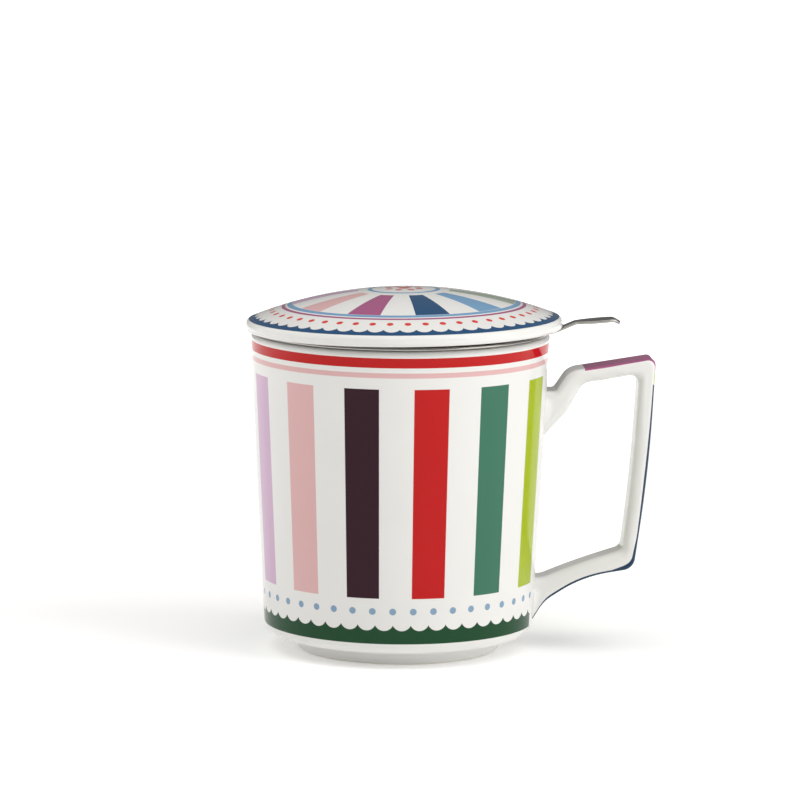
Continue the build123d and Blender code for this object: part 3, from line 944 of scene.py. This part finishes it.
class INFUSIONCUP_OT_lid(bpy.types.Operator):
    """Turns the domed lid, prints its rings and leans it on the finger tab"""

    bl_idname = "infusion_cup.lid"
    bl_label = "Lid"

    def execute(self, context):
        lid = context.scene.infusion_cup.lid
        upright = math.pi / 2

        # The dome and its rounding into the rim
        dome = cap_radius(lid.radius, lid.rise - lid.rim_height)
        centre = lid.rise - dome
        turn_in = lid.radius - lid.rim_rounding
        turn_up = centre + math.sqrt((dome - lid.rim_rounding) ** 2 - turn_in**2)
        slant = math.atan2(turn_up - centre, turn_in)
        profile = bow((0, centre), dome, upright, slant, steps=40)
        profile += bow((turn_in, turn_up), lid.rim_rounding, slant, 0, steps=12)

        # The skirt, the seat inside it and the hollow under the dome
        seat, hollow = lid.skirt_drop, lid.skirt_bore - lid.seat_width
        skirt = lid.radius - lid.skirt_bore
        profile += path([
            (lid.radius, turn_up, 0), (lid.radius, 0, lid.skirt_outer_edge * skirt),
            (lid.skirt_bore, 0, lid.skirt_inner_edge * skirt),
            (lid.skirt_bore, seat, lid.seat_rounding), (hollow, seat, 0)],
            arc_steps=10, run=1.5 * MM)
        deep = lid.rise - lid.wall - seat
        roof = cap_radius(hollow, deep)
        slant = math.atan2(roof - deep, hollow)
        profile += bow((0, seat + deep - roof), roof, upright, slant, steps=31)[::-1]

        shell = lathe(profile, context.scene.infusion_cup.cup.segments)
        bmesh.ops.transform(shell, matrix=lid_pose(lid), verts=shell.verts)
        material = lid_material(context.scene.infusion_cup.finish, lid)
        made = piece("glazed_lid", shell, material, sharp=50)
        settle(made, "lid", "porcelain", "lid")
        return {"FINISHED"}


class INFUSIONCUP_OT_basket(bpy.types.Operator):
    """Pierces and rolls the infuser's wall and pierces its base"""

    bl_idname = "infusion_cup.basket"
    bl_label = "Infuser basket"

    def execute(self, context):
        infuser = context.scene.infusion_cup.infuser
        finish = context.scene.infusion_cup.finish
        rows, columns = infuser.hole_rows, infuser.hole_columns
        bottom, sheet, taper = infuser.basket_bottom, infuser.sheet, basket_taper(infuser)
        pitch = math.pi * (infuser.wall_top_radius + infuser.basket_radius) / columns
        row_height = pitch * ROW_SHARE
        low = infuser.wall_margin
        hole = infuser.hole_diameter / 2
        pierced, edge = tile((hole / pitch, hole / row_height), False), tile(None, True)
        mesh = evaluated("pierced_wall", pierced_wall_tree(), {
            "Columns": columns, "Rows": rows, "Row Height": row_height, "Low Margin": low,
            "High Margin": infuser.wall_top - bottom - low - rows * row_height,
            "Bottom": bottom, "Bottom Radius": infuser.basket_radius, "Taper": taper,
            "Sheet": sheet, "Pierced Tile": pierced, "Edge Tile": edge,
            "Material": steel_material("rolled_sheet_steel", finish, ROLLED)})
        for helper in (pierced, edge):
            bpy.data.objects.remove(helper)
        wall = piece("pierced_wall", mesh, mesh.materials[0], sharp=30)
        settle(wall, "infuser", "steel", "infuser_wall")

        pan = infuser.basket_radius - sheet - WELD_GAP
        mesh = evaluated("pierced_base", pierced_base_tree(), {
            "Radius": pan - DISC_GAP, "Pitch": infuser.base_pitch,
            "Hole Diameter": infuser.hole_diameter, "Margin": infuser.base_margin,
            "Count": infuser.base_rows, "Bottom": bottom, "Sheet": sheet,
            "Material": steel_material("flat_sheet_steel", finish, FLAT)})
        shell = bmesh.new()
        shell.from_mesh(mesh)
        floor, rise = bottom + BASE_SHY, infuser.base_rise
        foot, top = pan - BASE_SHY, pan + taper * rise
        rim = turned_ring([
            (pan - BASE_LAP, floor), (foot, floor), (top, bottom + rise),
            (top - sheet, bottom + rise), (foot - sheet, floor + sheet),
            (pan - BASE_LAP, floor + sheet)],
            BASE_EDGES, BASE_SEGMENTS, arc_steps=6, run=2 * MM)
        shell.from_mesh(as_mesh("base_rim", rim))
        base = piece("pierced_base", shell, mesh.materials[0], sharp=30)
        settle(base, "infuser", "steel", "infuser_base")
        return {"FINISHED"}


class INFUSIONCUP_OT_fittings(bpy.types.Operator):
    """Turns the infuser's flange and hoop and bends its finger tab"""

    bl_idname = "infusion_cup.fittings"
    bl_label = "Infuser fittings"

    def execute(self, context):
        infuser = context.scene.infusion_cup.infuser
        finish = context.scene.infusion_cup.finish
        spun = steel_material("spun_rim_steel", finish, SPUN)
        segments = context.scene.infusion_cup.cup.segments
        seat, bore = FLANGE_TOP - infuser.flange_sheet, infuser.collar_bore
        neck, low = bore + infuser.sheet, seat - infuser.collar_depth
        flange = turned_ring([
            (bore, low), (neck, low), (neck, seat), (FLANGE_RADIUS, seat),
            (FLANGE_RADIUS, FLANGE_TOP), (bore, FLANGE_TOP)],
            FLANGE_EDGES, segments, arc_steps=9)
        rim = piece("flange_rim", flange, spun, sharp=40)
        settle(rim, "infuser", "steel", "infuser_rim")

        inner, floor = infuser.basket_radius + WELD_GAP, infuser.basket_bottom - WELD_GAP
        lip, thick = inner - infuser.hoop_turn_in, infuser.hoop_sheet
        top, high = inner + basket_taper(infuser) * infuser.hoop_height, floor + infuser.hoop_height
        band = turned_ring([
            (lip, floor), (inner, floor), (top, high), (top + thick, high),
            (inner + thick, floor - thick), (lip, floor - thick)],
            HOOP_EDGES, segments, arc_steps=8)
        hoop = piece("base_hoop", band, spun, sharp=40)
        settle(hoop, "infuser", "steel", "infuser_hoop")

        bent = steel_material("tab_steel", finish, BENT)
        tab = piece("finger_tab", self.tab(infuser, seat), bent, sharp=40)
        settle(tab, "infuser", "steel", "infuser_tab")
        return {"FINISHED"}

    def tab(self, infuser, seat):
        """Bent strip with a broad root on the flange's edge, a narrow neck and a leaf's paddle."""
        root, taper_end = FLANGE_RADIUS + WELD_GAP, FLANGE_RADIUS + TAB_TAPER
        bends = [(out * MM, seat + up * MM, bend * MM) for out, up, bend in TAB_BENDS]
        spine = path([(root, seat, 0), *bends], arc_steps=9, run=0.4 * MM)
        paddle, end = bends[1][0], bends[-1][0]
        thick, edge = infuser.tab_sheet, infuser.tab_edge
        loops = []
        for place, point in enumerate(spine):
            before, after = spine[max(place - 1, 0)], spine[min(place + 1, len(spine) - 1)]
            ahead = (after - before).normalized()
            up = Vector((-ahead.y, ahead.x))
            tapered = min(1, (point.x - root) / (taper_end - root))
            half = self.half_width(infuser, point.x, tapered, paddle, end)
            loop = []
            section = strip(half, thick, edge, edge, arc_steps=5, runs=(6, 2, 6))
            for side, deep in mirrored(section):
                spot = point + up * deep
                hug = math.sqrt(root**2 - side**2) - root
                loop.append((spot.x + hug * (1 - tapered), side, spot.y))
            loops.append(loop)
        return tube(loops)

    def half_width(self, infuser, x, tapered, paddle, end):
        """Half the tab's width: it narrows from its root, then swells to the leaf and its tip."""
        neck, leaf = infuser.tab_neck, infuser.tab_leaf
        crown = paddle + (end - paddle) * TAB_CROWN
        if tapered < 1:
            return infuser.tab_root + (neck - infuser.tab_root) * (3 * tapered**2 - 2 * tapered**3)
        if x < paddle:
            return neck
        if x < crown:
            return neck + (leaf - neck) * math.sin(math.pi / 2 * (x - paddle) / (crown - paddle))
        share = (x - crown) / (end - crown)
        return leaf * math.sqrt(max(TIP_LEAST, 1 - TIP_DEPTH * share**TIP_POWER))


class INFUSIONCUP_OT_stage(bpy.types.Operator):
    """Sets up the pale floor, the soft studio light and the camera"""

    bl_idname = "infusion_cup.stage"
    bl_label = "Stage"

    def execute(self, context):
        look = context.scene.infusion_cup.stage
        sweep = bmesh.new()
        bmesh.ops.create_grid(sweep, x_segments=8, y_segments=8, size=SWEEP_HALF)
        bmesh.ops.translate(sweep, vec=(0, 0, -SWEEP_DROP), verts=sweep.verts)
        floor = piece("studio_floor", sweep, self.floor_material(look))

        world = bpy.data.worlds.new("studio")
        world.use_nodes = True
        fill = world.node_tree.nodes["Background"].inputs
        fill[0].default_value = (*WARM, 1)
        fill[1].default_value = look.fill
        context.scene.world = world
        for side, numbers in SOFTBOXES.items():
            self.softbox(side + "_softbox", *numbers, getattr(look, side + "_light"))

        camera = placed("photo_camera", bpy.data.cameras.new("photo_camera"))
        camera.data.sensor_width = look.sensor
        camera.data.lens = look.lens
        turn, distance = look.camera_turn, look.camera_distance
        spot = (distance * math.sin(turn), -distance * math.cos(turn), look.camera_height)
        camera.matrix_world = (
            Matrix.Translation(spot) @ Matrix.Rotation(turn, 4, "Z")
            @ Matrix.Rotation(math.pi / 2 - look.camera_pitch, 4, "X")
            @ Matrix.Rotation(look.camera_roll, 4, "Z"))
        context.scene.camera = camera
        context.scene.view_settings.view_transform = "Standard"
        return {"FINISHED"}

    def floor_material(self, look):
        """A pale sweep that glows more, the further it is from the cup."""
        material, graph = start_material("studio_floor")
        place = graph.node("ShaderNodeTexCoord").outputs["Object"]
        grain = graph.noise(place, scale=6.0, detail=3)
        shade = graph.paint([GRAIN_SHADE * part for part in look.floor], grain, look.floor)
        far = graph.node("ShaderNodeVectorMath", {0: place}, operation="LENGTH").outputs["Value"]
        glow = graph.node("ShaderNodeMapRange", {
            "Value": far, "From Min": look.glow_start, "From Max": look.glow_end,
            "To Min": look.near_glow, "To Max": look.far_glow}, interpolation_type="SMOOTHSTEP")
        graph.surface({"Base Color": shade, "Roughness": 0.75, "Emission Color": (1, 1, 1, 1),
                       "Emission Strength": glow.outputs[0]})
        return material

    def softbox(self, name, azimuth, distance, height, width, tall, bright):
        """An area light that faces the cup. Azimuth is counted from the camera to the right."""
        lamp = bpy.data.lights.new(name, "AREA")
        lamp.shape = "RECTANGLE"
        lamp.size, lamp.size_y = width, tall
        lamp.energy = bright * math.pi * width * tall
        lamp.color = WARM
        turn = math.radians(azimuth)
        made = placed(name, lamp)
        made.location = (distance * math.sin(turn), -distance * math.cos(turn), height)
        made.rotation_euler = (AIM - made.location).to_track_quat("-Z", "Y").to_euler()


PIECES = (INFUSIONCUP_OT_body, INFUSIONCUP_OT_handle, INFUSIONCUP_OT_basket,
          INFUSIONCUP_OT_fittings, INFUSIONCUP_OT_lid, INFUSIONCUP_OT_stage)


class INFUSIONCUP_PT_panel(bpy.types.Panel):
    """Lists the pieces and their sizes"""

    bl_label = "Infusion Cup"
    bl_idname = "INFUSIONCUP_PT_panel"
    bl_space_type = "VIEW_3D"
    bl_region_type = "UI"
    bl_category = "Infusion Cup"

    def draw(self, context):
        for kind in PIECES:
            self.layout.operator(kind.bl_idname)
        settings = context.scene.infusion_cup
        for name in ("cup", "lid", "infuser", "finish", "stage"):
            box = self.layout.box()
            box.label(text=name.capitalize())
            group = getattr(settings, name)
            for key in group.__annotations__:
                box.prop(group, key)


CLASSES = (CupShape, LidShape, InfuserShape, Finish, StageLook, InfusionCup, *PIECES,
           INFUSIONCUP_PT_panel)


def register():
    for kind in CLASSES:
        bpy.utils.register_class(kind)
    bpy.types.Scene.infusion_cup = PointerProperty(type=InfusionCup)


def unregister():
    del bpy.types.Scene.infusion_cup
    for kind in reversed(CLASSES):
        bpy.utils.unregister_class(kind)


def main():
    register()
    for kind in PIECES:
        group, name = kind.bl_idname.split(".")
        getattr(getattr(bpy.ops, group), name)()


if __name__ == "__main__":
    main()
